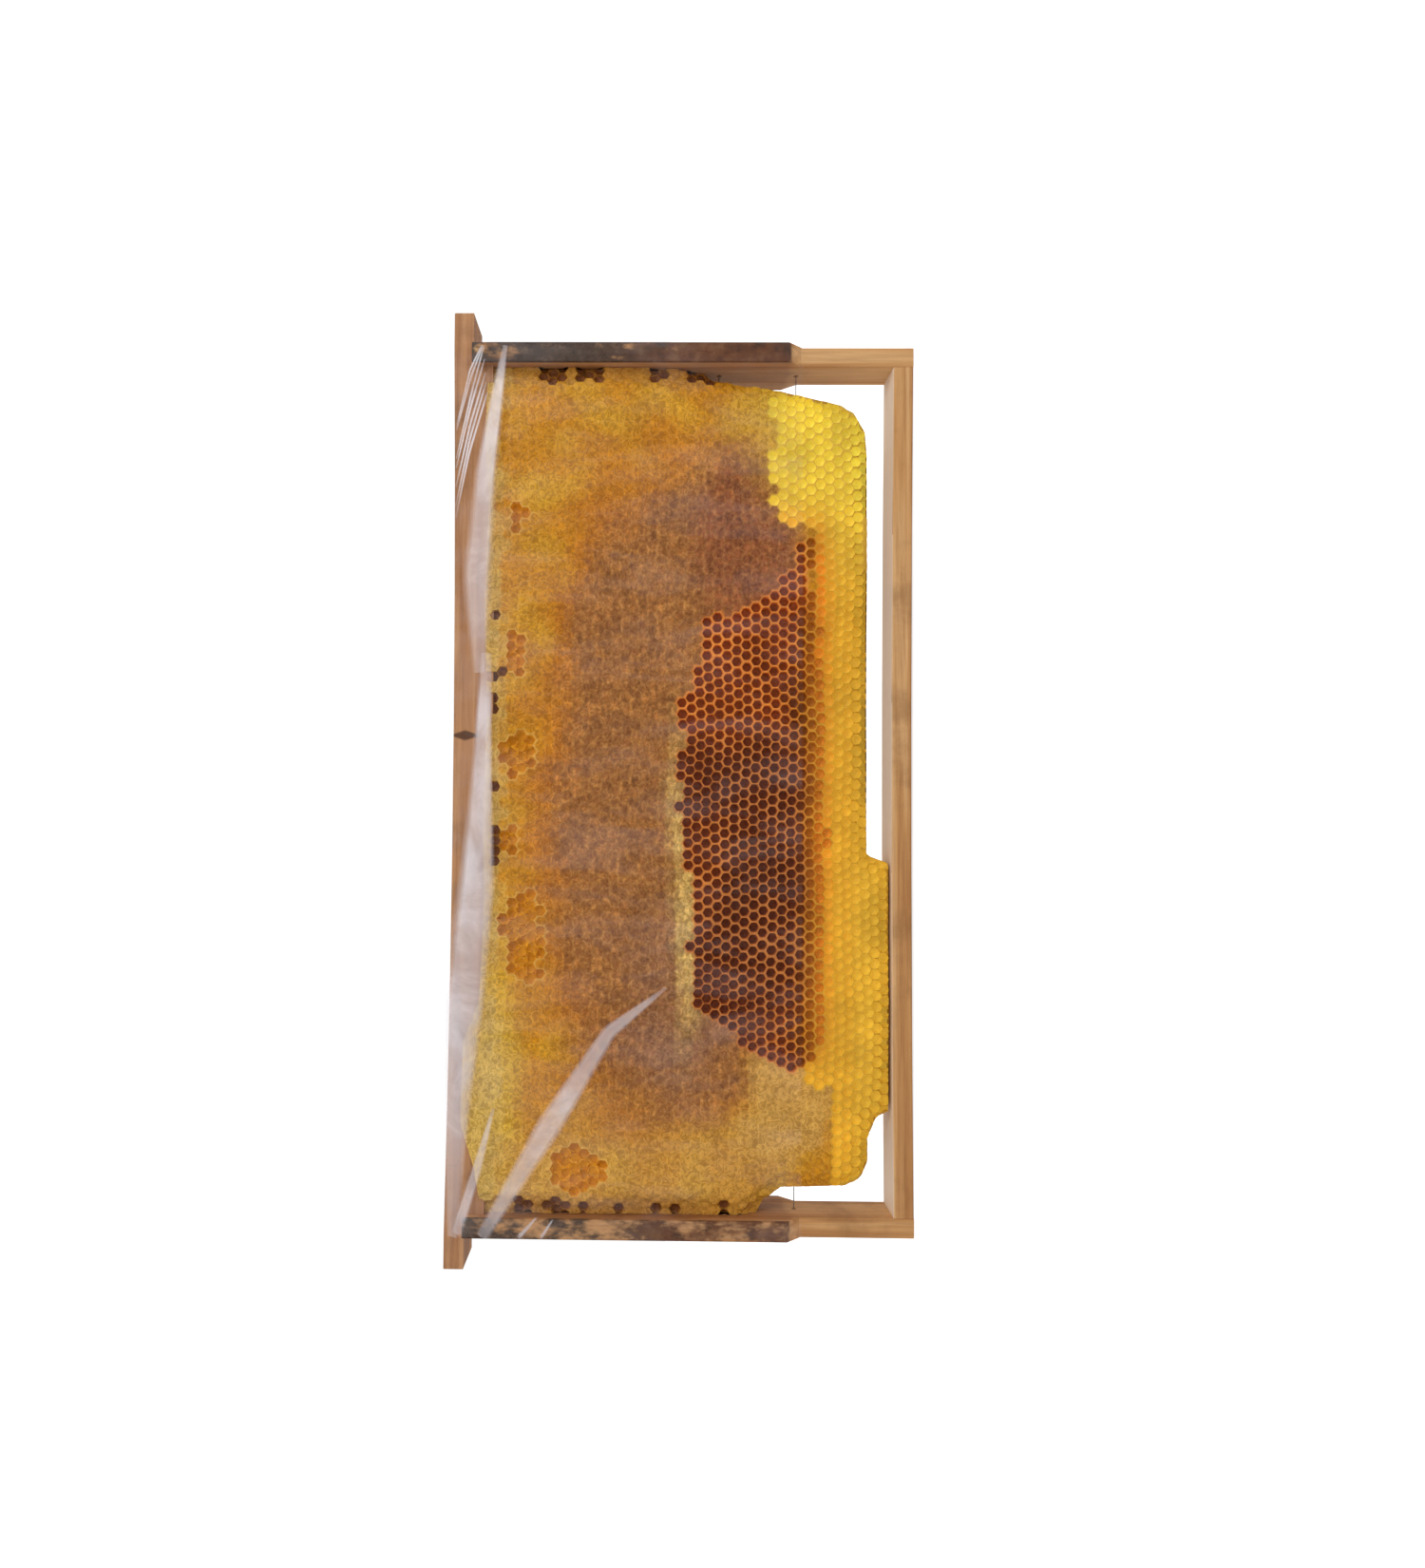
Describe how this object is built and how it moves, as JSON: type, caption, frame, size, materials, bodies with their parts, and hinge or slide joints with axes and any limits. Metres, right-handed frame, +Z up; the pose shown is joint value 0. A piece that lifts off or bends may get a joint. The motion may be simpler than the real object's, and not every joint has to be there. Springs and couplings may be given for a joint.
{
  "type": "wooden hive frame",
  "caption": "Deep wooden hive frame with lugs, self-spacing end bars, drawn comb and capped honey, in clear stretch film.",
  "frame": {"origin": "bottom middle of the frame, on the plane its feet stand on", "axes": "+X along the top bar, +Y through the comb towards the back, +Z up from the bottom bar to the top bar"},
  "size_m": [0.482, 0.0354, 0.2342],
  "materials": {
    "wood_top_bar": "worn, propolis stained",
    "wood_end_bar": "worn, propolis stained",
    "wood_bottom_bar": "worn, bare",
    "foundation_wax": "rolled beeswax sheet",
    "comb_wax": "beeswax comb, part capped",
    "steel_wire": "tinned wire",
    "steel_tack": "dull",
    "steel_nail": "dull",
    "brass_eyelet": "satin",
    "clear_film": "clear stretch film"
  },
  "bodies": {
    "root": {"top_bar": "wood_top_bar", "end_bar_left": "wood_end_bar", "end_bar_right": "wood_end_bar", "bottom_bar": "wood_bottom_bar", "wax_foundation": "foundation_wax", "comb_front": "comb_wax", "comb_back": "comb_wax", "frame_wire": "steel_wire", "wire_tack_start": "steel_tack", "wire_tack_end": "steel_tack", "stretch_film": "clear_film", "top_nails_left": "steel_nail", "side_nail_left": "steel_nail", "bottom_nail_left": "steel_nail", "eyelet_left_1": "brass_eyelet", "eyelet_left_2": "brass_eyelet", "eyelet_left_3": "brass_eyelet", "eyelet_left_4": "brass_eyelet", "top_nails_right": "steel_nail", "side_nail_right": "steel_nail", "bottom_nail_right": "steel_nail", "eyelet_right_1": "brass_eyelet", "eyelet_right_2": "brass_eyelet", "eyelet_right_3": "brass_eyelet", "eyelet_right_4": "brass_eyelet"}
  },
  "joints": []
}
